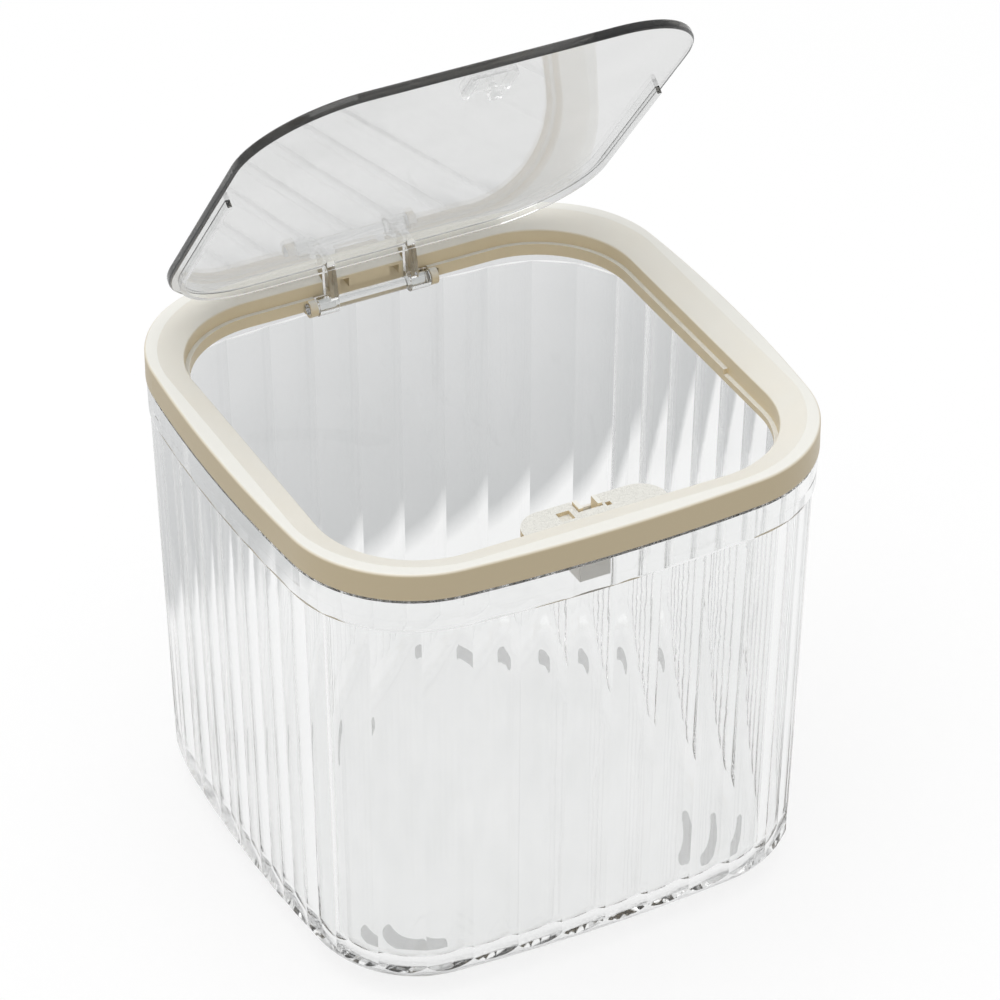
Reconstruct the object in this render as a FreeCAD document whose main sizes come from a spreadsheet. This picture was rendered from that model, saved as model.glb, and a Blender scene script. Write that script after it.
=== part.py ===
import FreeCAD, Part
import math
import os
import Sketcher

# Desktop trash can: a clear fluted tub, a cream ring that caps it and a clear lid that swings open.
# Millimetres, +Z up, front towards -Y, origin on the ground under the middle of the ring.

document = FreeCAD.newDocument("DesktopTrashCan")
sheet = document.addObject("Spreadsheet::Sheet", "Sizes")
sheet.Label = "sizes"

DRIVING_SIZES = [
    ("rim_width", 143.0, "outer width and depth of the ring at the middle of its sides"),
    ("rim_corner", 33.0, "outer corner radius of the ring"),
    ("side_radius", 460.0, "radius of the slight outward bow of the ring's sides"),
    ("rim_top", 130.8, "height of the ring's top face above the ground"),
    ("rim_height", 7.3, "height of the ring's outer band"),
    ("rim_edge_round", 0.7, "rounding of the ring's top outer edge"),
    ("rim_wall", 1.8, "thickness of the outer band"),
    ("rim_plate", 3.6, "thickness of the ring's top at its outer edge"),
    ("rim_inner_wall", 2.0, "thickness of the ring's inner wall"),
    ("inner_wall_drop", 2.0, "how far the inner wall reaches below the outer band"),
    ("rim_face", 10.6, "width of the ring's top, from its outer edge to the well"),
    ("rim_strip", 4.0, "width of the flat strip along the ring's outer edge"),
    ("rim_slope", 2.6, "how far the ring's top slopes down from that strip to the well"),
    ("well_corner", 26.5, "corner radius of the well inside the ring"),
    ("well_depth", 3.5, "depth of the well from its edge down to its rear ledge"),
    ("well_edge_round", 0.4, "rounding of the well's edge"),
    ("ledge_width", 1.2, "how far the ledge stands into the well"),
    ("ledge_step", 1.5, "how much lower the front part of the ledge lies"),
    ("ledge_step_setback", 16.0, "distance of the ledge's step in front of the middle"),
    ("neck_clearance", 0.3, "gap between the tub's neck and the ring's band"),
    ("neck_wall", 1.9, "thickness of the tub's neck"),
    ("shoulder_gap", 0.9, "visible gap between the ring and the tub's shoulder"),
    ("tub_inset", 0.2, "how far the tub's band lies inside the ring's band"),
    ("tub_draft", 3.4, "how much each side draws in from the shoulder to the base"),
    ("tub_wall", 3.6, "thickness of the wall at the base"),
    ("band_height", 8.5, "height of the plain band above the flutes"),
    ("base_round", 12.0, "rounding of the tub's bottom edge"),
    ("flute_depth", 1.0, "depth of the hollow flutes"),
    ("flute_inset", 0.3, "how far the flutes lie inside the plain band"),
    ("floor_thickness", 4.0, "thickness of the tub's floor"),
    ("cavity_round", 9.0, "rounding of the tub's inner bottom edge"),
    ("foot_height", 1.0, "height of the foot pads"),
    ("foot_width", 4.5, "width of a foot pad"),
    ("foot_radius", 17.8, "radius of a foot pad's bend"),
    ("foot_end_round", 2.0, "rounding of a foot pad's ends"),
    ("foot_setback", 36.0, "distance of the bend's centre from the tub's base side"),
    ("hinge_forward", 1.4, "distance of the hinge axis in front of the well's rear wall"),
    ("hinge_drop", 8.6, "distance of the hinge axis below the ring's top"),
    ("hinge_room", 5.0, "space behind the hinge axis"),
    ("hinge_width", 32.0, "inner width of the hinge box"),
    ("hinge_wall", 2.0, "wall thickness of the hinge box"),
    ("lug_radius", 2.3, "radius of the lugs round the hinge axis"),
    ("pin_radius", 1.6, "radius of the hinge pin"),
    ("pin_seat_clearance", 0.03, "gap between the pin and the lugs"),
    ("pin_run_clearance", 0.05, "gap between the pin and the lid's arms"),
    ("window_size", 2.6, "side of the square windows between the lid's arms"),
    ("window_spacing", 14.0, "distance between the middles of the windows"),
    ("arm_spacing", 20.4, "distance between the inner faces of the lid's arms"),
    ("arm_thickness", 2.2, "thickness of a lid arm"),
    ("arm_hub", 2.5, "radius of an arm's hub round the pin"),
    ("hub_clearance", 0.4, "gap between an arm's hub and its lug"),
    ("arm_root", 4.6, "width of an arm where it meets the lid"),
    ("arm_clearance", 0.7, "gap between an arm and its slot"),
    ("lid_angle", 51.9, "angle of the open lid above its closed place, in degrees"),
    ("lid_side_inset", 0.2, "distance of the lid's sides inside the well's edge"),
    ("lid_front_lap", 2.55, "how far the lid's front edge reaches over the well's edge"),
    ("lid_drop", 0.75, "how far the closed lid's underside lies below the ring's top"),
    ("lid_setback", 5.15, "distance of the lid's rear edge in front of the hinge axis"),
    ("lid_thickness", 2.4, "thickness of the lid"),
    ("lid_corner", 27.6, "corner radius of the lid"),
    ("lid_edge_round", 0.8, "rounding of the lid's edges"),
    ("skirt_inset", 2.2, "distance of the lid's skirt from its edge"),
    ("skirt_wall", 1.2, "thickness of the skirt"),
    ("skirt_depth", 2.0, "depth of the skirt under the lid"),
    ("skirt_end_setback", 18.9, "distance of the skirt's ends in front of the middle"),
    ("cover_width", 38.4, "width of the latch's half-moon cover"),
    ("cover_reach", 7.6, "how far the cover reaches into the well"),
    ("cover_corner", 7.0, "rounding of the cover's corners"),
    ("cover_thickness", 2.2, "thickness of the cover"),
    ("cover_drop", 0.3, "how far the cover lies below the well's edge"),
    ("cover_clearance", 0.1, "gap between the cover and the well's front wall"),
    ("shelf_reach", 1.8, "how far the ring's shelf under the cover reaches in"),
    ("shelf_thickness", 2.0, "thickness of that shelf"),
    ("latch_setback", 5.0, "distance of the latch's middle behind the well's front wall"),
    ("latch_width", 8.2, "outer width of the latch housing"),
    ("latch_depth", 5.6, "outer depth of the latch housing, front to rear"),
    ("latch_height", 16.2, "height of the latch housing"),
    ("latch_wall", 0.8, "wall thickness of the latch housing"),
    ("slider_clearance", 0.2, "gap between the slider and what it slides in"),
    ("slider_height", 13.4, "height of the slider"),
    ("slider_proud", 0.7, "how far the slider stands above the cover at rest"),
    ("jaw_gap", 4.0, "gap between the two prongs of the slider"),
    ("jaw_depth", 3.7, "depth of the gap between the prongs"),
    ("cam_width", 3.6, "width of the follower's track in the slider"),
    ("cam_depth", 1.1, "depth of that track"),
    ("cam_height", 8.0, "height of that track"),
    ("follower_wire", 0.6, "thickness of the follower's wire"),
    ("follower_height", 9.5, "height of the follower above the housing's floor"),
    ("follower_hook", 1.1, "length of the follower's bent end"),
    ("latch_spring_radius", 1.05, "radius of the latch spring's turns"),
    ("latch_spring_wire", 0.4, "thickness of the latch spring's wire"),
    ("latch_spring_shift", 0.5, "distance of the latch spring behind the slider's middle"),
    ("catch_width", 3.5, "side of the square hole beside the latch"),
    ("peephole", 1.4, "side of the small hole beside the latch"),
    ("striker_width", 12.0, "width of the striker's base"),
    ("striker_length", 9.0, "length of the striker's base"),
    ("striker_base", 0.8, "thickness of the striker's base"),
    ("striker_rib", 1.2, "thickness of the striker's side ribs"),
    ("striker_neck", 1.8, "thickness of the striker's neck"),
    ("striker_head", 3.4, "width of the striker's head"),
    ("striker_head_height", 1.5, "height of the striker's head"),
    ("striker_clearance", 0.3, "gap between the striker and the slider with the lid closed"),
    ("overrun", 1.0, "how far a cut runs past the face it goes through"),
]
FLUTE_COUNT = 40
LATCH_SPRING_TURNS = 4
TOUCHING = 1e-5


class Size:
    """A length with its value and the expression over the sheet that gives it."""

    def __init__(self, number, text):
        self.number = number
        self.text = text

    def __add__(self, other):
        return Size(self.number + number_of(other), f"({self.text} + {text_of(other)})")

    def __sub__(self, other):
        return Size(self.number - number_of(other), f"({self.text} - {text_of(other)})")

    def __mul__(self, other):
        return Size(self.number * number_of(other), f"({self.text} * {text_of(other)})")

    def __truediv__(self, other):
        return Size(self.number / number_of(other), f"({self.text} / {text_of(other)})")

    def __neg__(self):
        return Size(-self.number, f"(0 - {self.text})")


def number_of(value):
    return value.number if isinstance(value, Size) else float(value)


def text_of(value):
    return value.text if isinstance(value, Size) else str(value)


def fill_sheet():
    """Writes the driving sizes into the sheet and hands each back as a Size."""
    for row, (name, number, note) in enumerate(DRIVING_SIZES, start=1):
        sheet.set(f"A{row}", name)
        sheet.set(f"B{row}", str(number))
        sheet.set(f"C{row}", note)
        sheet.setAlias(f"B{row}", name)
    document.recompute()
    return {name: Size(float(sheet.get(name)), f"Sizes.{name}") for name, _, _ in DRIVING_SIZES}


class Sizes:
    """All driving sizes as attributes."""


size = Sizes()
size.__dict__.update(fill_sheet())

# Places that follow from the driving sizes
rim_half = size.rim_width / 2
rim_bottom = size.rim_top - size.rim_height
well_half = rim_half - size.rim_face
well_front = -well_half
well_rear = well_half
well_level = size.rim_top - size.rim_slope
ledge_level = well_level - size.well_depth
plate_under = size.rim_top - size.rim_plate
axis_y = well_rear - size.hinge_forward
axis_z = size.rim_top - size.hinge_drop
hinge_half = size.hinge_width / 2
arm_inner = size.arm_spacing / 2
arm_outer = arm_inner + size.arm_thickness
cover_top = well_level - size.cover_drop
cover_under = cover_top - size.cover_thickness
latch_y = well_front + size.latch_setback
latch_floor = cover_under - size.latch_height + size.latch_wall
slider_half_width = size.latch_width / 2 - size.latch_wall - size.slider_clearance
slider_half_depth = size.latch_depth / 2 - size.latch_wall - size.slider_clearance
slider_top = cover_top + size.slider_proud
slider_under = slider_top - size.slider_height


def plane_of(body, role):
    return next(plane for plane in body.Origin.OriginFeatures if plane.Role == role)


def new_body(name):
    body = document.addObject("PartDesign::Body", name)
    body.Label = name
    return body


def new_sketch(body, name, role, level):
    """A sketch on one of the body's origin planes, moved along its normal to a level."""
    sketch = body.newObject("Sketcher::SketchObject", name)
    sketch.AttachmentSupport = [(plane_of(body, role), "")]
    sketch.MapMode = "FlatFace"
    sketch.setExpression("AttachmentOffset.Base.z", text_of(level))
    return sketch


def pin_point(sketch, geometry, position, x, y):
    """Ties a point of the sketch to its two coordinates."""
    for kind, value in (("DistanceX", x), ("DistanceY", y)):
        index = sketch.addConstraint(Sketcher.Constraint(kind, -1, 1, geometry, position, number_of(value)))
        name = f"{kind}_{geometry}_{position}"
        sketch.renameConstraint(index, name)
        sketch.setExpression(f"Constraints.{name}", text_of(value))


def bind_radius(sketch, geometry, radius):
    index = sketch.addConstraint(Sketcher.Constraint("Radius", geometry, number_of(radius)))
    name = f"Radius_{geometry}"
    sketch.renameConstraint(index, name)
    sketch.setExpression(f"Constraints.{name}", text_of(radius))


def vector(x, y):
    return FreeCAD.Vector(number_of(x), number_of(y), 0)


def moved(point, towards, distance):
    """The point moved along one axis towards another point, by a Size."""
    (x, y), (next_x, next_y) = point, towards
    step_x = number_of(next_x) - number_of(x)
    step_y = number_of(next_y) - number_of(y)
    if abs(step_x) > abs(step_y):
        return (x + distance if step_x > 0 else x - distance, y)
    return (x, y + distance if step_y > 0 else y - distance)


def outline(sketch, corners):
    """A closed outline of straight runs; a corner with a radius is rounded, between square runs."""
    count = len(corners)
    starts = []
    ends = []
    for index, (x, y, radius) in enumerate(corners):
        before = corners[index - 1][:2]
        after = corners[(index + 1) % count][:2]
        starts.append((x, y) if radius is None else moved((x, y), before, radius))
        ends.append((x, y) if radius is None else moved((x, y), after, radius))
    lines = []
    for index in range(count):
        following = (index + 1) % count
        line = Part.LineSegment(vector(*ends[index]), vector(*starts[following]))
        lines.append(sketch.addGeometry(line))
    for index, (x, y, radius) in enumerate(corners):
        arriving = lines[index - 1]
        leaving = lines[index]
        pin_point(sketch, leaving, 1, *ends[index])
        if radius is None:
            sketch.addConstraint(Sketcher.Constraint("Coincident", arriving, 2, leaving, 1))
            continue
        pin_point(sketch, arriving, 2, *starts[index])
        round_corner(sketch, arriving, leaving, (x, y), starts[index], ends[index], radius)


def round_corner(sketch, arriving, leaving, corner, start, end, radius):
    """An arc that joins two square runs of an outline."""
    corner = vector(*corner)
    start = vector(*start)
    end = vector(*end)
    centre = start + end - corner
    middle = centre + (corner - centre).normalize() * radius.number
    arc = Part.Arc(start, middle, end)
    turns_left = ((corner - start).cross(end - corner)).z > 0
    geometry = sketch.addGeometry(arc)
    first, last = (1, 2) if turns_left else (2, 1)
    sketch.addConstraint(Sketcher.Constraint("Coincident", arriving, 2, geometry, first))
    sketch.addConstraint(Sketcher.Constraint("Coincident", leaving, 1, geometry, last))
    bind_radius(sketch, geometry, radius)


def rectangle(sketch, left, right, front, rear, radius=None):
    corners = [(left, front), (right, front), (right, rear), (left, rear)]
    outline(sketch, [(x, y, radius) for x, y in corners])


def square_root(value):
    if isinstance(value, Size):
        return Size(math.sqrt(value.number), f"sqrt({value.text})")
    return math.sqrt(value)


def bow_centres(half, corner, bow):
    """How far the centres of a bowed side's arc and of a corner's arc lie from the square's middle."""
    side_centre = bow - half
    reach = bow - corner
    corner_centre = (square_root(reach * reach * 2 - side_centre * side_centre) - side_centre) / 2
    return side_centre, corner_centre


def bowed_square(sketch, half, corner):
    """A square outline of four slightly bowed sides and four round corners that run into each other."""
    bow = size.side_radius - (rim_half - half)
    side_centre, corner_centre = bow_centres(half, corner, bow)
    stretch = bow / (bow - corner)
    near = corner_centre * stretch
    far = (corner_centre + side_centre) * stretch - side_centre
    diagonal = corner_centre + corner * math.sqrt(0.5)
    runs = [((near, -far), (diagonal, -diagonal), corner), ((far, -near), (half, 0), bow)]
    arcs = []
    for quarter in range(4):
        for start, middle, radius in runs:
            arcs.append((turned(start, quarter), turned(middle, quarter), radius))
    made = []
    for index, (start, middle, radius) in enumerate(arcs):
        end = arcs[(index + 1) % len(arcs)][0]
        arc = sketch.addGeometry(Part.Arc(vector(*start), vector(*middle), vector(*end)))
        pin_point(sketch, arc, 1, *start)
        bind_radius(sketch, arc, radius)
        made.append(arc)
    for index, arc in enumerate(made):
        sketch.addConstraint(Sketcher.Constraint("Coincident", made[index - 1], 2, arc, 1))


def turned(point, quarters):
    """A point turned about the middle by quarter turns."""
    for _ in range(quarters):
        point = (-point[1], point[0])
    return point


def circle(sketch, x, y, radius):
    geometry = sketch.addGeometry(Part.Circle(vector(x, y), FreeCAD.Vector(0, 0, 1), radius.number))
    pin_point(sketch, geometry, 3, x, y)
    bind_radius(sketch, geometry, radius)


def feature(body, kind, name, sketch, length, reversed_way=False, midplane=False):
    """A Pad or Pocket of the sketch; a pocket has to take material away and a pad to add it."""
    document.recompute()
    before = body.Shape.Volume if body.Tip and not body.Shape.isNull() else 0.0
    made = body.newObject(f"PartDesign::{kind}", name)
    made.Profile = sketch
    made.Length = number_of(length)
    made.setExpression("Length", text_of(length))
    made.Reversed = reversed_way
    made.Midplane = midplane
    document.recompute()
    change = body.Shape.Volume - before
    if (change > 0) != (kind == "Pad"):
        raise ValueError(f"{name} changed the volume the wrong way: {change:.3f}")
    return made


def fillet(body, name, base, edges, radius):
    made = body.newObject("PartDesign::Fillet", name)
    made.Base = (base, edges)
    made.Radius = radius.number
    made.setExpression("Radius", radius.text)
    document.recompute()
    return made


def edges_where(shape, test):
    return [f"Edge{index}" for index, edge in enumerate(shape.Edges, start=1) if test(edge)]


def flat_at(edge, level):
    """Whether an edge lies all at one height."""
    box = edge.BoundBox
    return max(abs(box.ZMin - level.number), abs(box.ZMax - level.number)) < TOUCHING


def widest(edge):
    """How far an edge reaches from the middle, sideways or front to rear."""
    box = edge.BoundBox
    return max(abs(box.XMin), abs(box.XMax), abs(box.YMin), abs(box.YMax))


def hinge_placement():
    """Turns a piece of the lid, modelled closed about the hinge axis, to its open place."""
    base = FreeCAD.Vector(0, axis_y.number, axis_z.number)
    return FreeCAD.Placement(base, FreeCAD.Rotation(FreeCAD.Vector(-1, 0, 0), size.lid_angle.number))


def bind_to_hinge(piece):
    piece.Placement = hinge_placement()
    piece.setExpression("Placement.Base.y", axis_y.text)
    piece.setExpression("Placement.Base.z", axis_z.text)
    piece.setExpression("Placement.Rotation.Angle", size.lid_angle.text)


# The ring that caps the tub

def make_rim():
    body = new_body("rim_ring")
    band = new_sketch(body, "rim_band_outline", "XY_Plane", rim_bottom)
    bowed_square(band, rim_half, size.rim_corner)
    pad = feature(body, "Pad", "rim_band", band, size.rim_height)
    top_edges = edges_where(body.Shape, lambda edge: flat_at(edge, size.rim_top))
    fillet(body, "rim_top_rounding", pad, top_edges, size.rim_edge_round)

    channel = new_sketch(body, "rim_channel_outline", "XY_Plane", rim_bottom)
    bowed_square(channel, rim_half - size.rim_wall, size.rim_corner - size.rim_wall)
    wall_half = well_half + size.rim_inner_wall
    wall_corner = size.well_corner + size.rim_inner_wall
    rectangle(channel, -wall_half, wall_half, -wall_half, wall_half, wall_corner)
    feature(body, "Pocket", "rim_channel", channel, size.rim_height - size.rim_plate, reversed_way=True)
    wall = new_sketch(body, "rim_inner_wall_outline", "XY_Plane", rim_bottom)
    rectangle(wall, -wall_half, wall_half, -wall_half, wall_half, wall_corner)
    feature(body, "Pad", "rim_inner_wall", wall, size.inner_wall_drop, reversed_way=True)

    well = new_sketch(body, "rim_well_outline", "XY_Plane", size.rim_top)
    rectangle(well, -well_half, well_half, well_front, well_rear, size.well_corner)
    pocket = feature(body, "Pocket", "rim_well", well, size.rim_slope + size.well_depth)
    reach = well_half.number + TOUCHING
    edges = edges_where(body.Shape, lambda edge: flat_at(edge, size.rim_top) and widest(edge) < reach)
    slope = body.newObject("PartDesign::Chamfer", "rim_slope")
    slope.Base = (pocket, edges)
    slope.ChamferType = "Two distances"
    slope.setExpression("Size", (size.rim_face - size.rim_strip).text)
    slope.setExpression("Size2", size.rim_slope.text)
    document.recompute()
    edges = edges_where(body.Shape, lambda edge: flat_at(edge, well_level) and widest(edge) < reach)
    fillet(body, "rim_well_rounding", slope, edges, size.well_edge_round)

    front = new_sketch(body, "rim_front_ledge_outline", "XY_Plane", size.rim_top)
    outline(front, [(-well_half, well_front, size.well_corner), (well_half, well_front, size.well_corner),
                    (well_half, -size.ledge_step_setback, None), (-well_half, -size.ledge_step_setback, None)])
    feature(body, "Pocket", "rim_front_ledge", front, size.rim_slope + size.well_depth + size.ledge_step)

    mouth = new_sketch(body, "rim_mouth_outline", "XY_Plane", size.rim_top)
    ledge = size.ledge_width
    rectangle(mouth, -(well_half - ledge), well_half - ledge, well_front + ledge, well_rear - ledge,
              size.well_corner - ledge)
    feature(body, "Pocket", "rim_mouth", mouth, size.rim_height + size.inner_wall_drop + size.overrun)
    add_hinge_box(body)
    add_cover_shelf(body)
    return body


def add_hinge_box(body):
    """The box at the rear that holds the hinge pin between two lugs."""
    outer = hinge_half + size.hinge_wall
    box_rear = axis_y + size.hinge_room + size.hinge_wall
    box_bottom = axis_z - size.lug_radius
    box = new_sketch(body, "hinge_box_outline", "XY_Plane", box_bottom)
    rectangle(box, -outer, outer, well_rear, box_rear)
    feature(body, "Pad", "hinge_box", box, plate_under - box_bottom + size.overrun / 2)

    for side, inner_face, backwards in (("left", -hinge_half, True), ("right", hinge_half, False)):
        lug = new_sketch(body, f"{side}_lug_outline", "YZ_Plane", inner_face)
        circle(lug, axis_y, axis_z, size.lug_radius)
        feature(body, "Pad", f"{side}_lug", lug, size.hinge_wall, reversed_way=backwards)

    room = new_sketch(body, "hinge_room_outline", "XY_Plane", box_bottom)
    rectangle(room, -hinge_half, hinge_half, axis_y - size.lug_radius - size.overrun, axis_y + size.hinge_room)
    feature(body, "Pocket", "hinge_room", room, ledge_level - box_bottom, reversed_way=True)

    slots = new_sketch(body, "arm_slot_outline", "XY_Plane", size.rim_top)
    slot_inner = arm_inner - size.arm_clearance
    slot_outer = arm_outer + size.arm_clearance
    for left, right in ((-slot_outer, -slot_inner), (slot_inner, slot_outer)):
        rectangle(slots, left, right, well_rear - size.overrun, axis_y + size.hinge_room)
    feature(body, "Pocket", "arm_slots", slots, size.rim_slope + size.well_depth + size.overrun)

    windows = new_sketch(body, "window_outline", "XY_Plane", ledge_level)
    half = size.window_size / 2
    for middle in (-(size.window_spacing / 2), size.window_spacing / 2):
        rectangle(windows, middle - half, middle + half, well_rear - size.overrun, axis_y + size.hinge_room)
    feature(body, "Pocket", "windows", windows, size.window_size, reversed_way=True)

    seat = new_sketch(body, "pin_seat_outline", "YZ_Plane", 0)
    circle(seat, axis_y, axis_z, size.pin_radius + size.pin_seat_clearance)
    feature(body, "Pocket", "pin_seat", seat, (outer + size.overrun) * 2, midplane=True)


def add_cover_shelf(body):
    """The shelf at the front that carries the latch's cover."""
    shelf = new_sketch(body, "cover_shelf_outline", "XY_Plane", cover_under)
    half = size.cover_width / 2
    rectangle(shelf, -half, half, well_front - size.rim_inner_wall / 2, well_front + size.shelf_reach)
    feature(body, "Pad", "cover_shelf", shelf, size.shelf_thickness, reversed_way=True)


# The tub

def drawn_block(body, name, top, bottom, half, corner, draw):
    """A rounded square block that draws in on every side from its top down to its bottom."""
    sketch = new_sketch(body, f"{name}_outline", "XY_Plane", top)
    bowed_square(sketch, half, corner)
    pad = feature(body, "Pad", f"{name}_pad", sketch, top - bottom, reversed_way=True)
    faces = list(enumerate(pad.Shape.Faces, start=1))
    sides = [f"Face{index}" for index, face in faces if abs(face.normalAt(0, 0).z) < 0.5]
    upper = [f"Face{index}" for index, face in faces if face.normalAt(0, 0).z > 0.5]
    made = body.newObject("PartDesign::Draft", name)
    made.Base = (pad, sides)
    made.NeutralPlane = (pad, upper)
    made.Reversed = True
    slope = (draw / (top - bottom)).text
    made.setExpression("Angle", f"atan({slope})")
    document.recompute()
    return made


shoulder = rim_bottom - size.shoulder_gap
tub_half = rim_half - size.tub_inset
base_half = tub_half - size.tub_draft
base_corner = size.rim_corner - size.tub_draft
neck_half = rim_half - size.rim_wall - size.neck_clearance
neck_corner = size.rim_corner - size.rim_wall - size.neck_clearance
cavity_half = neck_half - size.neck_wall
cavity_corner = neck_corner - size.neck_wall
cavity_base_half = base_half - size.tub_wall
cavity_floor = size.foot_height + size.floor_thickness


def path_point(half, corner, share):
    """A point and its outward direction at a share of the way round a bowed square, from the front."""
    bow = half + (size.side_radius - rim_half).number
    side_centre, corner_centre = bow_centres(half, corner, bow)
    lean = math.atan2(corner_centre, corner_centre + side_centre)
    half_side = bow * lean
    corner_run = corner * (math.pi / 2 - 2 * lean)
    side = 2 * half_side + corner_run
    turn, along = divmod((share % 1.0) * 4 * side, side)
    if along < half_side:
        angle = along / bow - math.pi / 2
        x, y, radius = 0.0, side_centre, bow
    elif along < half_side + corner_run:
        angle = lean + (along - half_side) / corner - math.pi / 2
        x, y, radius = corner_centre, -corner_centre, corner
    else:
        angle = (along - side) / bow
        x, y, radius = -side_centre, 0.0, bow
    outward = FreeCAD.Vector(math.cos(angle), math.sin(angle), 0)
    turning = FreeCAD.Rotation(FreeCAD.Vector(0, 0, 1), 90 * turn)
    return turning.multVec(FreeCAD.Vector(x, y, 0) + outward * radius), turning.multVec(outward)


def flute_wire(level, half, corner):
    """The fluted outline at one height: a ring of hollow arcs that meet in ridges."""
    lift = FreeCAD.Vector(0, 0, level)
    arcs = []
    for index in range(FLUTE_COUNT):
        start, _ = path_point(half, corner, index / FLUTE_COUNT)
        middle, outward = path_point(half, corner, (index + 0.5) / FLUTE_COUNT)
        end, _ = path_point(half, corner, (index + 1) / FLUTE_COUNT)
        hollow = middle - outward * size.flute_depth.number
        arcs.append(Part.Arc(start + lift, hollow + lift, end + lift).toShape())
    return Part.Wire(arcs)


def make_flutes():
    """The fluted column that bounds the tub below its plain band."""
    top = (shoulder - size.band_height).number
    rise = top / (shoulder - size.foot_height).number
    ground_half = (base_half - size.flute_inset).number
    top_half = ground_half + size.tub_draft.number * rise
    ground_corner = base_corner.number
    top_corner = ground_corner + (size.rim_corner.number - ground_corner) * rise
    wires = [flute_wire(0, ground_half, ground_corner), flute_wire(top, top_half, top_corner)]
    flutes = document.addObject("Part::Feature", "flutes")
    flutes.Shape = Part.makeLoft(wires, True, True)
    return flutes


def make_tub():
    envelope = new_body("tub_envelope")
    walls = drawn_block(envelope, "tub_walls", shoulder, size.foot_height, tub_half, size.rim_corner,
                        size.tub_draft)
    bottom = edges_where(envelope.Shape, lambda edge: flat_at(edge, size.foot_height))
    fillet(envelope, "base_rounding", walls, bottom, size.base_round)
    neck = new_sketch(envelope, "neck_outline", "XY_Plane", shoulder)
    bowed_square(neck, neck_half, neck_corner)
    feature(envelope, "Pad", "neck", neck, plate_under - shoulder)

    cavity = new_body("tub_cavity")
    hollow = drawn_block(cavity, "cavity_walls", plate_under + size.overrun, cavity_floor, cavity_half,
                         cavity_corner, cavity_half - cavity_base_half)
    bottom = edges_where(cavity.Shape, lambda edge: flat_at(edge, cavity_floor))
    fillet(cavity, "cavity_rounding", hollow, bottom, size.cavity_round)

    plain = document.addObject("Part::Box", "plain_band")
    width = size.rim_width + size.overrun * 2
    for name, value in (("Length", width), ("Width", width), ("Height", size.rim_top)):
        setattr(plain, name, value.number)
        plain.setExpression(name, value.text)
    for name, value in (("x", -(width / 2)), ("y", -(width / 2)), ("z", shoulder - size.band_height)):
        plain.setExpression(f"Placement.Base.{name}", value.text)

    bounds = document.addObject("Part::Fuse", "flutes_and_band")
    bounds.Base = make_flutes()
    bounds.Tool = plain
    outside = document.addObject("Part::Common", "fluted_outside")
    outside.Base = envelope
    outside.Tool = bounds
    tub = document.addObject("Part::Cut", "bin_body")
    tub.Base = outside
    tub.Tool = cavity
    tub.Label = "bin_body"
    document.recompute()
    return tub


def make_foot(name, turn):
    """A bent pad under one corner of the tub; the four are turned copies of one outline."""
    body = new_body(name)
    sketch = new_sketch(body, f"{name}_outline", "XY_Plane", 0)
    centre = base_half - size.foot_setback
    half_span_share = 0.39
    half_span = math.pi / 2 * half_span_share
    half = size.foot_width / 2
    bends = (size.foot_radius + half, size.foot_radius - half)
    turns = (math.pi / 4 - half_span, math.pi / 4 + half_span)
    normal = FreeCAD.Vector(0, 0, 1)
    corners = [[(centre + radius * math.cos(at), centre + radius * math.sin(at)) for at in turns] for radius in bends]
    arcs = []
    for radius, ends in zip(bends, corners):
        ring = Part.Circle(vector(centre, centre), normal, radius.number)
        arc = sketch.addGeometry(Part.ArcOfCircle(ring, *turns))
        pin_point(sketch, arc, 1, *ends[0])
        pin_point(sketch, arc, 2, *ends[1])
        bind_radius(sketch, arc, radius)
        arcs.append(arc)
    for position, (outer_end, inner_end) in zip((1, 2), zip(*corners)):
        line = sketch.addGeometry(Part.LineSegment(vector(*outer_end), vector(*inner_end)))
        sketch.addConstraint(Sketcher.Constraint("Coincident", line, 1, arcs[0], position))
        sketch.addConstraint(Sketcher.Constraint("Coincident", line, 2, arcs[1], position))
    pad = feature(body, "Pad", f"{name}_pad", sketch, size.foot_height)
    upright = edges_where(body.Shape, lambda edge: edge.BoundBox.ZLength > size.foot_height.number / 2)
    fillet(body, f"{name}_end_rounding", pad, upright, size.foot_end_round)
    body.Placement = FreeCAD.Placement(FreeCAD.Vector(0, 0, 0), FreeCAD.Rotation(normal, turn))
    return body


# The lid, modelled closed with the hinge axis as its own X axis

lid_half = well_half - size.lid_side_inset
lid_rear = -size.lid_setback
lid_front = well_front - size.lid_front_lap - axis_y
lid_under = size.hinge_drop - size.lid_drop


def make_lid():
    body = new_body("lid_panel")
    plate = new_sketch(body, "lid_outline", "XY_Plane", lid_under)
    rectangle(plate, -lid_half, lid_half, lid_front, lid_rear, size.lid_corner)
    pad = feature(body, "Pad", "lid_plate", plate, size.lid_thickness)
    rims = edges_where(body.Shape, lambda edge: flat_at(edge, lid_under + size.lid_thickness)
                       or flat_at(edge, lid_under))
    fillet(body, "lid_edge_rounding", pad, rims, size.lid_edge_round)

    skirt = new_sketch(body, "skirt_outline", "XY_Plane", lid_under)
    outer = lid_half - size.skirt_inset
    inner = outer - size.skirt_wall
    rear = lid_rear - size.skirt_inset
    ends = -(size.skirt_end_setback + axis_y)
    corner = size.lid_corner - size.skirt_inset
    inner_corner = corner - size.skirt_wall
    outline(skirt, [(-outer, ends, None), (-inner, ends, None), (-inner, rear - size.skirt_wall, inner_corner),
                    (inner, rear - size.skirt_wall, inner_corner), (inner, ends, None), (outer, ends, None),
                    (outer, rear, corner), (-outer, rear, corner)])
    feature(body, "Pad", "skirt", skirt, size.skirt_depth, reversed_way=True)
    add_lid_arms(body)
    bind_to_hinge(body)
    return body


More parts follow.
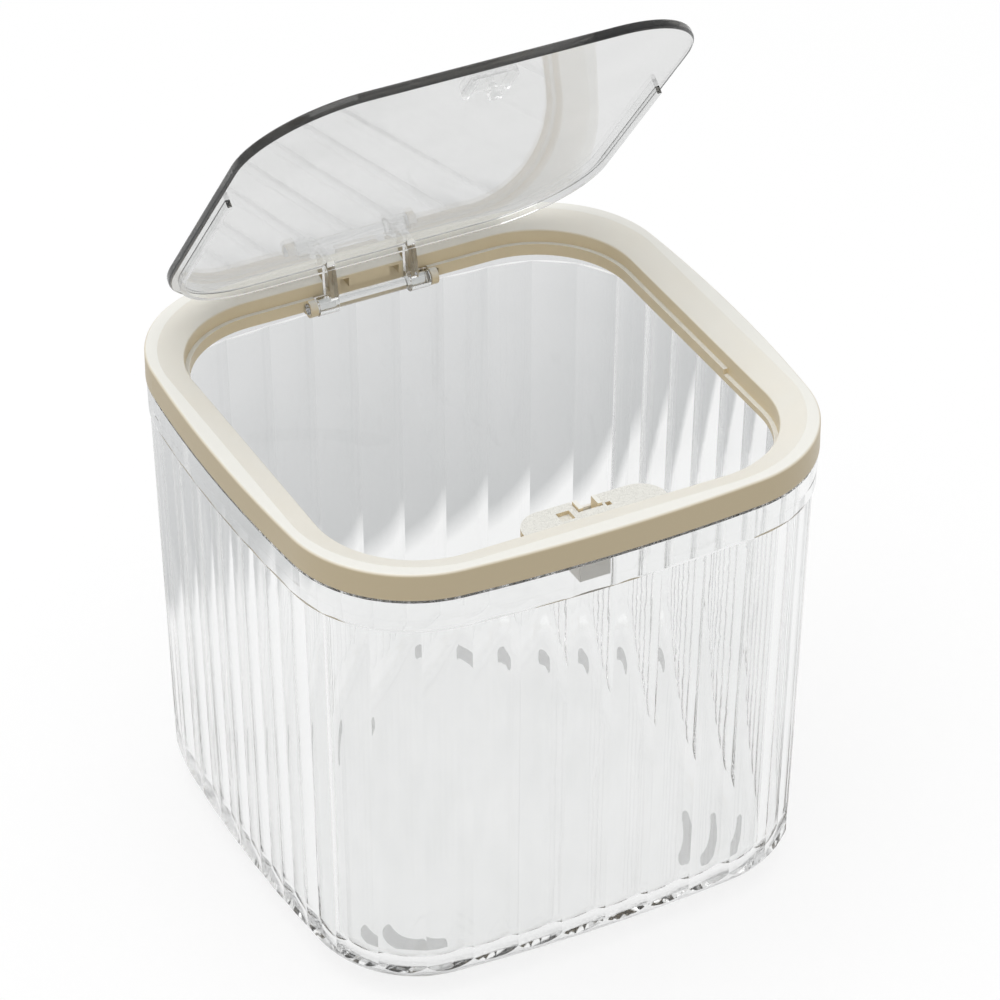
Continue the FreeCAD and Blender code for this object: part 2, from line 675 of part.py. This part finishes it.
def add_lid_arms(body):
    """Two arms with hubs that turn on the hinge pin."""
    lean_across_share = 0.82
    lean_down_share = 0.57
    hub_y = size.arm_hub * lean_across_share
    hub_z = size.arm_hub * lean_down_share
    root_rear = lid_rear - size.lid_edge_round
    root_top = lid_under + size.lid_thickness / 2
    hub_length = hinge_half - size.hub_clearance - arm_inner
    for side, inner, backwards in (("left", -arm_inner, True), ("right", arm_inner, False)):
        arm = new_sketch(body, f"{side}_arm_outline", "YZ_Plane", inner)
        outline(arm, [(root_rear - size.arm_root, root_top, None), (-hub_y, -hub_z, None),
                      (hub_y, hub_z, None), (root_rear, root_top, None)])
        feature(body, "Pad", f"{side}_arm", arm, size.arm_thickness, reversed_way=backwards)
        hub = new_sketch(body, f"{side}_hub_outline", "YZ_Plane", inner)
        circle(hub, Size(0.0, "0"), Size(0.0, "0"), size.arm_hub)
        feature(body, "Pad", f"{side}_hub", hub, hub_length, reversed_way=backwards)
    bore = new_sketch(body, "arm_bore_outline", "YZ_Plane", 0)
    circle(bore, Size(0.0, "0"), Size(0.0, "0"), size.pin_radius + size.pin_run_clearance)
    feature(body, "Pocket", "arm_bore", bore, hinge_half * 2, midplane=True)


def make_striker():
    """The hook under the lid's front: a base, two ribs, a neck and a head."""
    body = new_body("lid_striker")
    middle = latch_y - axis_y
    half_width = size.striker_width / 2
    half_length = size.striker_length / 2
    head_bottom = slider_top - size.jaw_depth + size.striker_clearance - axis_z
    base_under = lid_under - size.striker_base
    base = new_sketch(body, "striker_base_outline", "XY_Plane", lid_under)
    rectangle(base, -half_width, half_width, middle - half_length, middle + half_length)
    feature(body, "Pad", "striker_base", base, size.striker_base, reversed_way=True)

    ribs = new_sketch(body, "striker_rib_outline", "XY_Plane", base_under)
    for left, right in ((-half_width, -(half_width - size.striker_rib)), (half_width - size.striker_rib, half_width)):
        rectangle(ribs, left, right, middle - half_length, middle + half_length)
    rib_height = base_under + axis_z - cover_top - size.striker_clearance
    feature(body, "Pad", "striker_ribs", ribs, rib_height, reversed_way=True)

    neck = new_sketch(body, "striker_neck_outline", "XY_Plane", base_under)
    half_neck = size.striker_neck / 2
    rectangle(neck, -half_neck, half_neck, middle - half_neck, middle + half_neck)
    feature(body, "Pad", "striker_neck", neck, base_under - head_bottom, reversed_way=True)

    head = new_sketch(body, "striker_head_outline", "XY_Plane", head_bottom)
    half_head = size.striker_head / 2
    rectangle(head, -half_head, half_head, middle - half_neck, middle + half_neck)
    feature(body, "Pad", "striker_head", head, size.striker_head_height)
    bind_to_hinge(body)
    return body


# The latch

def make_cover():
    body = new_body("latch_cover")
    sketch = new_sketch(body, "cover_outline", "XY_Plane", cover_under)
    half = size.cover_width / 2
    front = well_front + size.cover_clearance
    rear = well_front + size.cover_reach
    outline(sketch, [(-half, front, None), (half, front, None), (half, rear, size.cover_corner),
                     (-half, rear, size.cover_corner)])
    feature(body, "Pad", "cover_plate", sketch, size.cover_thickness)

    holes = new_sketch(body, "cover_hole_outline", "XY_Plane", cover_top)
    slot_half = slider_half_width + size.slider_clearance
    slot_front = latch_y - slider_half_depth - size.slider_clearance
    rectangle(holes, -slot_half, slot_half, slot_front, rear + size.overrun)
    feature(body, "Pocket", "slider_slot", holes, size.cover_thickness + size.overrun)

    marks = new_sketch(body, "cover_mark_outline", "XY_Plane", cover_top)
    half_catch = size.catch_width / 2
    catch_x = -(slot_half + size.catch_width)
    rectangle(marks, catch_x - half_catch, catch_x + half_catch, slot_front - half_catch, slot_front + half_catch)
    half_peep = size.peephole / 2
    peep_x = slot_half + size.peephole
    rectangle(marks, peep_x - half_peep, peep_x + half_peep, slot_front - half_peep, slot_front + half_peep)
    feature(body, "Pocket", "cover_marks", marks, size.cover_thickness / 2)
    return body


def make_housing():
    body = new_body("latch_housing")
    half_width = size.latch_width / 2
    half_depth = size.latch_depth / 2
    block = new_sketch(body, "housing_outline", "XY_Plane", cover_under)
    rectangle(block, -half_width, half_width, latch_y - half_depth, latch_y + half_depth)
    feature(body, "Pad", "housing_block", block, size.latch_height, reversed_way=True)
    room = new_sketch(body, "housing_room_outline", "XY_Plane", cover_under)
    room_width = half_width - size.latch_wall
    room_depth = half_depth - size.latch_wall
    rectangle(room, -room_width, room_width, latch_y - room_depth, latch_y + room_depth)
    feature(body, "Pocket", "housing_room", room, cover_under - latch_floor)
    return body


def make_slider():
    body = new_body("latch_slider")
    block = new_sketch(body, "slider_outline", "XY_Plane", slider_under)
    front = latch_y - slider_half_depth
    rear = latch_y + slider_half_depth
    rectangle(block, -slider_half_width, slider_half_width, front, rear)
    feature(body, "Pad", "slider_block", block, size.slider_height)
    jaws = new_sketch(body, "jaw_outline", "XY_Plane", slider_top)
    half_gap = size.jaw_gap / 2
    rectangle(jaws, -half_gap, half_gap, front - size.overrun, rear + size.overrun)
    feature(body, "Pocket", "jaw_gap", jaws, size.jaw_depth)
    cam = new_sketch(body, "cam_outline", "XY_Plane", slider_under)
    half_cam = size.cam_width / 2
    rectangle(cam, -half_cam, half_cam, front - size.overrun, front + size.cam_depth)
    feature(body, "Pocket", "cam_track", cam, size.cam_height, reversed_way=True)
    return body


def arc_from(start, direction, end):
    """The arc that leaves a point in a direction and ends at another point."""
    chord = end - start
    along = FreeCAD.Vector(chord).normalize()
    aside = direction - along * direction.dot(along)
    lean = direction.getAngle(chord)
    aside.normalize()
    middle = (start + end) / 2 + aside * (chord.Length / 2 * math.tan(lean / 2))
    return Part.Arc(start, middle, end).toShape()


def biarc(start, start_direction, end, end_direction):
    """Two arcs that join two points with the directions given there."""
    span = end - start
    both = start_direction + end_direction
    spread = 2 * (1 - start_direction.dot(end_direction))
    reach = span.dot(both)
    handle = (math.sqrt(reach * reach + spread * span.dot(span)) - reach) / spread
    joint = (start + end + (start_direction - end_direction) * handle) / 2
    back = arc_from(end, end_direction * -1, joint)
    return [arc_from(start, start_direction, joint), back]


def helix_point(radius, pitch, turn):
    """A point and its direction on a helix along Z that starts on the X axis."""
    angle = 2 * math.pi * turn
    point = FreeCAD.Vector(radius * math.cos(angle), radius * math.sin(angle), pitch * turn)
    direction = FreeCAD.Vector(-radius * math.sin(angle), radius * math.cos(angle), pitch / (2 * math.pi))
    return point, direction.normalize()


def coil_edges(radius, pitch, turns):
    """A helix as biarcs of a quarter turn."""
    quarters = round(turns * 4)
    edges = []
    for index in range(quarters):
        start = helix_point(radius, pitch, index / 4)
        end = helix_point(radius, pitch, (index + 1) / 4)
        edges.extend(biarc(*start, *end))
    return edges


def wire_tube(edges, thickness):
    """A round tube of wire along joined edges."""
    path = Part.Wire(Part.__sortEdges__(edges))
    start = path.OrderedVertexes[0].Point
    first = path.OrderedEdges[0]
    along = first.tangentAt(first.FirstParameter)
    if (first.valueAt(first.FirstParameter) - start).Length > (first.valueAt(first.LastParameter) - start).Length:
        along = first.tangentAt(first.LastParameter) * -1
    ring = Part.Wire([Part.Circle(start, along, thickness / 2).toShape()])
    shell = Part.BRepOffsetAPI.MakePipeShell(path)
    shell.add(ring)
    shell.build()
    shell.makeSolid()
    return shell.shape()


def report_least_gap(name, radius, pitch, turns, thickness):
    """Prints the least gap between the turns of a coil, measured on points."""
    per_turn = 72
    points = [helix_point(radius, pitch, index / per_turn)[0] for index in range(round(turns * per_turn) + 1)]
    apart = per_turn // 2
    spans = [(second - first).Length for index, first in enumerate(points) for second in points[index + apart:]]
    if spans:
        print(f"{name}: least gap between turns {min(spans) - thickness:.3f} mm")


def make_latch_spring():
    wire = size.latch_spring_wire.number
    radius = size.latch_spring_radius.number
    room = (slider_under - latch_floor).number
    pitch = (room - wire) / LATCH_SPRING_TURNS
    report_least_gap("latch spring", radius, pitch, LATCH_SPRING_TURNS, wire)
    spring = document.addObject("Part::Feature", "latch_spring")
    spring.Label = "latch_spring"
    spring.Shape = wire_tube(coil_edges(radius, pitch, LATCH_SPRING_TURNS), wire)
    base_y = latch_y.number + size.latch_spring_shift.number
    spring.Placement.Base = FreeCAD.Vector(0, base_y, latch_floor.number + wire / 2)
    return spring


def make_follower():
    """The bent wire that stands on the housing's floor and runs in the slider's track."""
    wire = size.follower_wire.number
    bend = wire
    height = size.follower_height.number
    hook = size.follower_hook.number
    foot = FreeCAD.Vector(0, 0, 0)
    knee = FreeCAD.Vector(0, 0, height - bend)
    middle = FreeCAD.Vector(bend - bend * math.sqrt(0.5), 0, height - bend + bend * math.sqrt(0.5))
    shoulder_point = FreeCAD.Vector(bend, 0, height)
    tip = FreeCAD.Vector(hook, 0, height)
    path = [Part.LineSegment(foot, knee).toShape(), Part.Arc(knee, middle, shoulder_point).toShape()]
    path.append(Part.LineSegment(shoulder_point, tip).toShape())
    follower = document.addObject("Part::Feature", "latch_follower")
    follower.Label = "latch_follower"
    follower.Shape = wire_tube(path, wire)
    track_y = latch_y - slider_half_depth + size.cam_depth / 2
    follower.Placement.Base = FreeCAD.Vector(0, track_y.number - size.slider_clearance.number / 2, latch_floor.number)
    return follower


def make_pin():
    pin = document.addObject("Part::Cylinder", "hinge_pin")
    pin.Label = "hinge_pin"
    length = (hinge_half + size.hinge_wall) * 2
    for name, value in (("Radius", size.pin_radius), ("Height", length)):
        setattr(pin, name, value.number)
        pin.setExpression(name, value.text)
    base = FreeCAD.Vector(-length.number / 2, axis_y.number, axis_z.number)
    pin.Placement = FreeCAD.Placement(base, FreeCAD.Rotation(FreeCAD.Vector(0, 1, 0), 90))
    for name, value in (("x", -(length / 2)), ("y", axis_y), ("z", axis_z)):
        pin.setExpression(f"Placement.Base.{name}", value.text)
    return pin


FOOT_TURNS = {"foot_rear_right": 0, "foot_rear_left": 90, "foot_front_left": 180, "foot_front_right": 270}

sub_parts = [make_foot(name, turn) for name, turn in FOOT_TURNS.items()]
sub_parts += [make_rim(), make_lid(), make_striker(), make_cover(), make_housing(), make_slider(),
              make_latch_spring(), make_follower(), make_pin(), make_tub()]
document.recompute()

for item in document.Objects:
    if "Invalid" in item.State or "Error" in item.State:
        raise ValueError(f"{item.Label} failed: {item.State}")
for piece in sub_parts:
    if piece.Shape.isNull() or not piece.Shape.isValid() or piece.Shape.Volume <= 0:
        raise ValueError(f"{piece.Label} has no valid solid")

os.makedirs("parts", exist_ok=True)
for piece in sub_parts:
    piece.Shape.exportStep(f"parts/{piece.Label}.step")
    print(f"{piece.Label}: {len(piece.Shape.Solids)} solid, {piece.Shape.Volume / 1000:.3f} cm3")
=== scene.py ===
import bpy
from mathutils import Matrix, Vector


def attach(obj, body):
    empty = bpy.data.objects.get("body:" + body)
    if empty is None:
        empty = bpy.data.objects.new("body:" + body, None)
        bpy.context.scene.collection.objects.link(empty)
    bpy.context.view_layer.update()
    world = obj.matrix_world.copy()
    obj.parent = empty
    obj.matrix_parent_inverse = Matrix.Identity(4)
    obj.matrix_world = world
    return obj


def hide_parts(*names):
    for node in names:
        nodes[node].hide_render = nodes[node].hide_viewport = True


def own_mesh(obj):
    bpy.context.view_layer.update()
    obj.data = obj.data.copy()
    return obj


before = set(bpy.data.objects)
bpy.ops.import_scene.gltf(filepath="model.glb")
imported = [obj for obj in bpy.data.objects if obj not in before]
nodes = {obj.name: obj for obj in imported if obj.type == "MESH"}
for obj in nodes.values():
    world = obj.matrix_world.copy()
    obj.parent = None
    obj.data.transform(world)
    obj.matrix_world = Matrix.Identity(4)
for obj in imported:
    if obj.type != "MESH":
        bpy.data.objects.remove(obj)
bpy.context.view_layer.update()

# Indices of refraction and light bounces
ACRYLIC_IOR = 1.49
PLASTIC_IOR = 1.5
SILICONE_IOR = 1.41
BOUNCES = 32

# Colours, as linear red, green and blue
WHITE = (1.0, 1.0, 1.0)
# Painted shade: the cream of walls and slopes is a darker, warmer copy of the top's cream
CREAM_WALL_SHADE = (0.74, 0.62, 0.41)
CREAM_SLOPE_SHADE = (0.79, 0.75, 0.655)
CREAM_TOP = (0.79, 0.78, 0.73)
COVER_TOP = (0.76, 0.75, 0.70)
GREY_DARK = (0.76, 0.74, 0.69)
GREY_LIGHT = (0.83, 0.81, 0.76)
STEEL_DARK = (0.42, 0.42, 0.43)
STEEL_LIGHT = (0.66, 0.66, 0.67)
TUB_TINT = (0.925, 0.93, 0.928)
LID_TINT = (0.895, 0.90, 0.895)
FOOT_PALE = (0.72, 0.73, 0.73)
FOOT_THROUGH = (0.97, 0.97, 0.97)
FLOOR_LIT = (0.32, 0.32, 0.32)
FLOOR_PALE = (0.95, 0.95, 0.95)

# How much light the lid's plastic takes along a path, per metre
LID_SMOKE = 18.0

# Scale of the soft drift of tone in opaque plastic
DRIFT_SCALE = 55.0

# The floor: its reach, its level just under the base, and the stretch behind the bin where painted shade
# greys it for clear plastic and metal
FLOOR_HALF = 3.0
FLOOR_LEVEL = -0.0003
SHADE_START = 0.1
SHADE_END = 0.3

# Tones as (position, colour) stops: the painted shade of the floor behind the bin, by distance, and two
# skies, by height
FAR_FLOOR_SHADE_TONES = [
    (0.06, (0.97, 0.97, 0.97)),
    (0.12, (0.52, 0.53, 0.535)),
    (0.6, (0.67, 0.675, 0.68)),
    (1.0, (0.80, 0.80, 0.80)),
]
LIGHT_SKY_TONES = [
    (0.0, (0.30, 0.305, 0.31)),
    (0.25, (0.50, 0.505, 0.51)),
    (0.6, (0.95, 0.95, 0.95)),
    (1.0, WHITE),
]
SHOWN_SKY_TONES = [
    (0.0, (0.60, 0.605, 0.61)),
    (0.3, (0.84, 0.84, 0.84)),
    (0.7, WHITE),
]

# The lamp, in metres and watts
LAMP_PLACE = (-0.2, 0.0, 0.95)
LAMP_TARGET = (0.0, 0.0, 0.1)
LAMP_WIDTH = 0.7
LAMP_POWER = 2.6

# The camera's place and axes in metres, and its lens and sensor in millimetres, fitted to the photograph
CAMERA_PLACE = (-0.4815, -0.9412, 0.8294)
CAMERA_RIGHT = (0.8881, -0.4597, 0.0)
CAMERA_UP = (0.2624, 0.5068, 0.8211)
CAMERA_BACK = (-0.3775, -0.7292, 0.5707)
CAMERA_LENS = 186.62
CAMERA_SENSOR = 36.0
CAMERA_NEAR = 0.01


# Node helpers

def solid(colour):
    """A colour with full alpha, as sockets take it."""
    return (*colour, 1.0)


def new_material(name):
    """An empty material with its node tree and output."""
    material = bpy.data.materials.new(name)
    material.use_nodes = True
    tree = material.node_tree
    tree.nodes.clear()
    output = tree.nodes.new("ShaderNodeOutputMaterial")
    return material, tree, output


def add(tree, kind, **values):
    """A node with its input sockets set by name."""
    node = tree.nodes.new(kind)
    for name, value in values.items():
        node.inputs[name.replace("_", " ")].default_value = value
    return node


def coordinates(tree, kind):
    """One kind of texture coordinates."""
    return tree.nodes.new("ShaderNodeTexCoord").outputs[kind]


def along(tree, vector, axis):
    """One axis of a vector."""
    split = tree.nodes.new("ShaderNodeSeparateXYZ")
    tree.links.new(vector, split.inputs["Vector"])
    return split.outputs[axis]


def noise(tree, vector, scale, detail=3.0):
    """Soft noise between 0 and 1."""
    node = add(tree, "ShaderNodeTexNoise", Scale=scale, Detail=detail, Roughness=0.55)
    tree.links.new(vector, node.inputs["Vector"])
    return node.outputs["Fac"]


def ramp(tree, factor, stops):
    """A colour ramp over (position, colour) stops."""
    node = tree.nodes.new("ShaderNodeValToRGB")
    elements = node.color_ramp.elements
    while len(elements) < len(stops):
        elements.new(0.5)
    for element, (position, colour) in zip(elements, stops):
        element.position = position
        element.color = solid(colour)
    tree.links.new(factor, node.inputs["Fac"])
    return node.outputs["Color"]


def map_range(tree, value, **limits):
    """A value moved from one range to another, each 0 to 1 unless given."""
    node = add(tree, "ShaderNodeMapRange", **limits)
    tree.links.new(value, node.inputs["Value"])
    return node.outputs["Result"]


def bump(tree, height, depth):
    """A surface relief, as deep as given in metres."""
    node = add(tree, "ShaderNodeBump", Strength=1.0, Distance=depth)
    tree.links.new(height, node.inputs["Height"])
    return node.outputs["Normal"]


def combine(tree, operation, first, second):
    """A math operation on two links."""
    node = tree.nodes.new("ShaderNodeMath")
    node.operation = operation
    tree.links.new(first, node.inputs[0])
    tree.links.new(second, node.inputs[1])
    return node.outputs["Value"]


def mix_shaders(tree, share, first, second):
    """Two shaders mixed by a number or a link."""
    node = tree.nodes.new("ShaderNodeMixShader")
    if isinstance(share, float):
        node.inputs["Fac"].default_value = share
    else:
        tree.links.new(share, node.inputs["Fac"])
    tree.links.new(first, node.inputs[1])
    tree.links.new(second, node.inputs[2])
    return node.outputs["Shader"]


def by_ray(tree, lit, shown, seen):
    """One shader to light the object, one for clear plastic and metal to show and one for the camera."""
    path = tree.nodes.new("ShaderNodeLightPath")
    either = combine(tree, "MAXIMUM", path.outputs["Is Transmission Ray"], path.outputs["Is Glossy Ray"])
    unseen = mix_shaders(tree, either, lit, shown)
    return mix_shaders(tree, path.outputs["Is Camera Ray"], unseen, seen)


# Materials

def clear_plastic(name, tint, wave_depth, haze, smoke=0.0):
    """Clear moulded plastic: a faint tint, slow flow waves, a little haze and smoke over long paths."""
    flow_scale = 38.0
    haze_scale = 160.0
    tint_share = 0.6
    half_grey = (0.5, 0.5, 0.5)
    material, tree, output = new_material(name)
    shader = add(tree, "ShaderNodeBsdfPrincipled", IOR=ACRYLIC_IOR, Transmission_Weight=1.0)
    vector = coordinates(tree, "Object")
    flow = noise(tree, vector, flow_scale, detail=2.0)
    pale = tuple(1.0 - (1.0 - channel) * tint_share for channel in tint)
    tree.links.new(ramp(tree, flow, [(0.35, tint), (0.65, pale)]), shader.inputs["Base Color"])
    cloud = noise(tree, vector, haze_scale)
    tree.links.new(map_range(tree, cloud, To_Min=0.0, To_Max=haze), shader.inputs["Roughness"])
    tree.links.new(bump(tree, flow, wave_depth), shader.inputs["Normal"])
    tree.links.new(shader.outputs["BSDF"], output.inputs["Surface"])
    if smoke:
        # Half grey takes half of the density, so twice the density takes the smoke
        inside = add(tree, "ShaderNodeVolumeAbsorption", Color=solid(half_grey), Density=smoke * 2)
        tree.links.new(inside.outputs["Volume"], output.inputs["Volume"])
    return material


def soft_foot(name, body, clear_share):
    """Soft clear silicone: most light goes straight through, the rest meets a mottled pale surface."""
    mottle_scale = 420.0
    mottle_depth = 0.00004
    dull_share = 0.88
    material, tree, output = new_material(name)
    shader = add(tree, "ShaderNodeBsdfPrincipled", IOR=SILICONE_IOR, Roughness=0.4)
    mottle = noise(tree, coordinates(tree, "Object"), mottle_scale)
    dull = tuple(channel * dull_share for channel in body)
    tree.links.new(ramp(tree, mottle, [(0.3, dull), (0.7, body)]), shader.inputs["Base Color"])
    tree.links.new(bump(tree, mottle, mottle_depth), shader.inputs["Normal"])
    through = add(tree, "ShaderNodeBsdfTransparent", Color=solid(FOOT_THROUGH))
    mixed = mix_shaders(tree, clear_share, shader.outputs["BSDF"], through.outputs["BSDF"])
    tree.links.new(mixed, output.inputs["Surface"])
    return material


def grained_plastic(name, roughness, grain_scale, grain_depth):
    """Opaque moulded plastic with a fine grain, its tree, its coordinates and the socket of its colour."""
    roughness_swing = 0.06
    material, tree, output = new_material(name)
    shader = add(tree, "ShaderNodeBsdfPrincipled", IOR=PLASTIC_IOR)
    vector = coordinates(tree, "Object")
    grain = noise(tree, vector, grain_scale, detail=2.0)
    uneven = map_range(tree, grain, To_Min=roughness - roughness_swing, To_Max=roughness + roughness_swing)
    tree.links.new(uneven, shader.inputs["Roughness"])
    tree.links.new(bump(tree, grain, grain_depth), shader.inputs["Normal"])
    tree.links.new(shader.outputs["BSDF"], output.inputs["Surface"])
    return material, tree, vector, shader.inputs["Base Color"]


def cream_plastic_painted_shade(name, top, roughness, grain_scale, grain_depth):
    """Cream plastic with painted shade: pale where it faces up, painted darker and warmer on slopes and
    walls, with a soft drift of tone.
    """
    drift_reach = 0.03
    material, tree, vector, socket = grained_plastic(name, roughness, grain_scale, grain_depth)
    geometry = tree.nodes.new("ShaderNodeNewGeometry")
    upward = along(tree, geometry.outputs["Normal"], "Z")
    drift = map_range(tree, noise(tree, vector, DRIFT_SCALE), To_Min=-drift_reach, To_Max=drift_reach)
    painted_shade_facing = combine(tree, "ADD", upward, drift)
    # Painted shade: the cream darkens and warms as the surface turns from upward to sideways
    tree.links.new(ramp(tree, painted_shade_facing, [(0.1, CREAM_WALL_SHADE), (0.9, CREAM_SLOPE_SHADE), (0.97, top)]), socket)
    return material


def grey_plastic(name, roughness, grain_scale, grain_depth):
    """Grey plastic with a soft drift of tone."""
    material, tree, vector, socket = grained_plastic(name, roughness, grain_scale, grain_depth)
    drift = noise(tree, vector, DRIFT_SCALE)
    tree.links.new(ramp(tree, drift, [(0.3, GREY_DARK), (0.7, GREY_LIGHT)]), socket)
    return material


def spring_steel(name):
    """Steel wire with fine marks."""
    mark_scale = 900.0
    mark_depth = 0.00002
    material, tree, output = new_material(name)
    shader = add(tree, "ShaderNodeBsdfPrincipled", Metallic=1.0)
    marks = noise(tree, coordinates(tree, "Object"), mark_scale, detail=4.0)
    tree.links.new(ramp(tree, marks, [(0.3, STEEL_DARK), (0.7, STEEL_LIGHT)]), shader.inputs["Base Color"])
    tree.links.new(map_range(tree, marks, To_Min=0.22, To_Max=0.4), shader.inputs["Roughness"])
    tree.links.new(bump(tree, marks, mark_depth), shader.inputs["Normal"])
    tree.links.new(shader.outputs["BSDF"], output.inputs["Surface"])
    return material


tub_clear = clear_plastic("tub_clear", TUB_TINT, wave_depth=0.00003, haze=0.03)
lid_clear = clear_plastic("lid_clear", LID_TINT, wave_depth=0.00002, haze=0.03, smoke=LID_SMOKE)
foot_clear = soft_foot("foot_clear", FOOT_PALE, clear_share=0.78)
cream = cream_plastic_painted_shade("rim_cream", CREAM_TOP, roughness=0.36, grain_scale=700.0, grain_depth=0.00002)
cover_cream = cream_plastic_painted_shade("cover_cream", COVER_TOP, roughness=0.45, grain_scale=1400.0, grain_depth=0.0006)
latch_grey = grey_plastic("latch_grey", roughness=0.4, grain_scale=900.0, grain_depth=0.00003)
steel = spring_steel("spring_steel")

FINISHES = {
    "bin_body": tub_clear,
    "foot_front_left": foot_clear,
    "foot_front_right": foot_clear,
    "foot_rear_left": foot_clear,
    "foot_rear_right": foot_clear,
    "rim_ring": cream,
    "latch_cover": cover_cream,
    "latch_slider": cream,
    "latch_housing": latch_grey,
    "hinge_pin": lid_clear,
    "lid_panel": lid_clear,
    "lid_striker": lid_clear,
    "latch_follower": steel,
}
for node, finish in FINISHES.items():
    nodes[node].data.materials.clear()
    nodes[node].data.materials.append(finish)


# The latch spring: a copy of the CAD wire, parented to the ring

def wire_copy(node):
    """A copy of a CAD wire as a piece of its own, smooth and steel."""
    mesh = nodes[node].data.copy()
    mesh.materials.clear()
    mesh.materials.append(steel)
    for polygon in mesh.polygons:
        polygon.use_smooth = True
    piece = bpy.data.objects.new(f"{node}_wire", mesh)
    bpy.context.scene.collection.objects.link(piece)
    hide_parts(node)
    return piece


latch_coil = wire_copy("latch_spring")
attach(latch_coil, "ring")
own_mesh(latch_coil)


# Floor, world, light and camera

def far_floor_painted_shade(tree):
    """The floor as clear plastic and metal show it: white round the bin and pale grey painted shade further
    behind.
    """
    distance = along(tree, coordinates(tree, "Object"), "Y")
    behind = map_range(tree, distance, From_Min=SHADE_START, From_Max=SHADE_END)
    return ramp(tree, behind, FAR_FLOOR_SHADE_TONES)


def make_floor():
    """A pale floor that stays white to the eye and keeps a soft shadow, with painted shade behind the bin
    where clear plastic and metal see it.
    """
    white_share = 0.8
    far_shade_share = 0.85
    half = FLOOR_HALF
    level = FLOOR_LEVEL
    mesh = bpy.data.meshes.new("floor")
    corners = [(-half, -half, level), (half, -half, level), (half, half, level), (-half, half, level)]
    mesh.from_pydata(corners, [], [(0, 1, 2, 3)])
    floor = bpy.data.objects.new("floor", mesh)
    bpy.context.scene.collection.objects.link(floor)
    material, tree, output = new_material("floor_white")
    lit = add(tree, "ShaderNodeBsdfDiffuse", Color=solid(FLOOR_LIT))
    pale = add(tree, "ShaderNodeBsdfDiffuse", Color=solid(FLOOR_PALE))
    white = add(tree, "ShaderNodeEmission", Color=solid(WHITE), Strength=1.0)
    far_shade_emission = add(tree, "ShaderNodeEmission", Strength=1.0)
    # Painted shade: clear plastic and metal see the floor go pale grey behind the bin
    tree.links.new(far_floor_painted_shade(tree), far_shade_emission.inputs["Color"])
    shown = mix_shaders(tree, far_shade_share, pale.outputs["BSDF"], far_shade_emission.outputs["Emission"])
    seen = mix_shaders(tree, white_share, pale.outputs["BSDF"], white.outputs["Emission"])
    tree.links.new(by_ray(tree, lit.outputs["BSDF"], shown, seen), output.inputs["Surface"])
    mesh.materials.append(material)


def sky(tree, height, tones):
    """A background whose tone follows the height of the ray."""
    background = add(tree, "ShaderNodeBackground", Strength=1.0)
    tree.links.new(ramp(tree, height, tones), background.inputs["Color"])
    return background.outputs["Background"]


def make_world():
    """A soft studio sky: bright overhead and greyer towards the horizon, white to the eye."""
    world = bpy.data.worlds.new("studio")
    world.use_nodes = True
    tree = world.node_tree
    tree.nodes.clear()
    output = tree.nodes.new("ShaderNodeOutputWorld")
    height = along(tree, coordinates(tree, "Generated"), "Z")
    lit = sky(tree, height, LIGHT_SKY_TONES)
    shown = sky(tree, height, SHOWN_SKY_TONES)
    white = add(tree, "ShaderNodeBackground", Color=solid(WHITE), Strength=1.0)
    tree.links.new(by_ray(tree, lit, shown, white.outputs["Background"]), output.inputs["Surface"])
    bpy.context.scene.world = world


def area_light(name, place, target, width, power):
    """A square soft lamp that faces a target."""
    data = bpy.data.lights.new(name, "AREA")
    data.shape = "SQUARE"
    data.size = width
    data.energy = power
    lamp = bpy.data.objects.new(name, data)
    lamp.location = place
    lamp.rotation_euler = (Vector(target) - Vector(place)).to_track_quat("-Z", "Y").to_euler()
    bpy.context.scene.collection.objects.link(lamp)


def make_camera():
    """The photograph's view: from the front left and above, with a long lens."""
    data = bpy.data.cameras.new("camera")
    data.lens = CAMERA_LENS
    data.sensor_width = CAMERA_SENSOR
    data.clip_start = CAMERA_NEAR
    camera = bpy.data.objects.new("camera", data)
    turn = Matrix((CAMERA_RIGHT, CAMERA_UP, CAMERA_BACK)).transposed().to_4x4()
    camera.matrix_world = Matrix.Translation(Vector(CAMERA_PLACE)) @ turn
    bpy.context.scene.collection.objects.link(camera)
    bpy.context.scene.camera = camera


make_floor()
make_world()
area_light("overhead", LAMP_PLACE, LAMP_TARGET, LAMP_WIDTH, LAMP_POWER)
make_camera()
bpy.context.scene.view_settings.view_transform = "Standard"
bpy.context.scene.cycles.max_bounces = BOUNCES
bpy.context.scene.cycles.transmission_bounces = BOUNCES
bpy.context.scene.cycles.glossy_bounces = BOUNCES
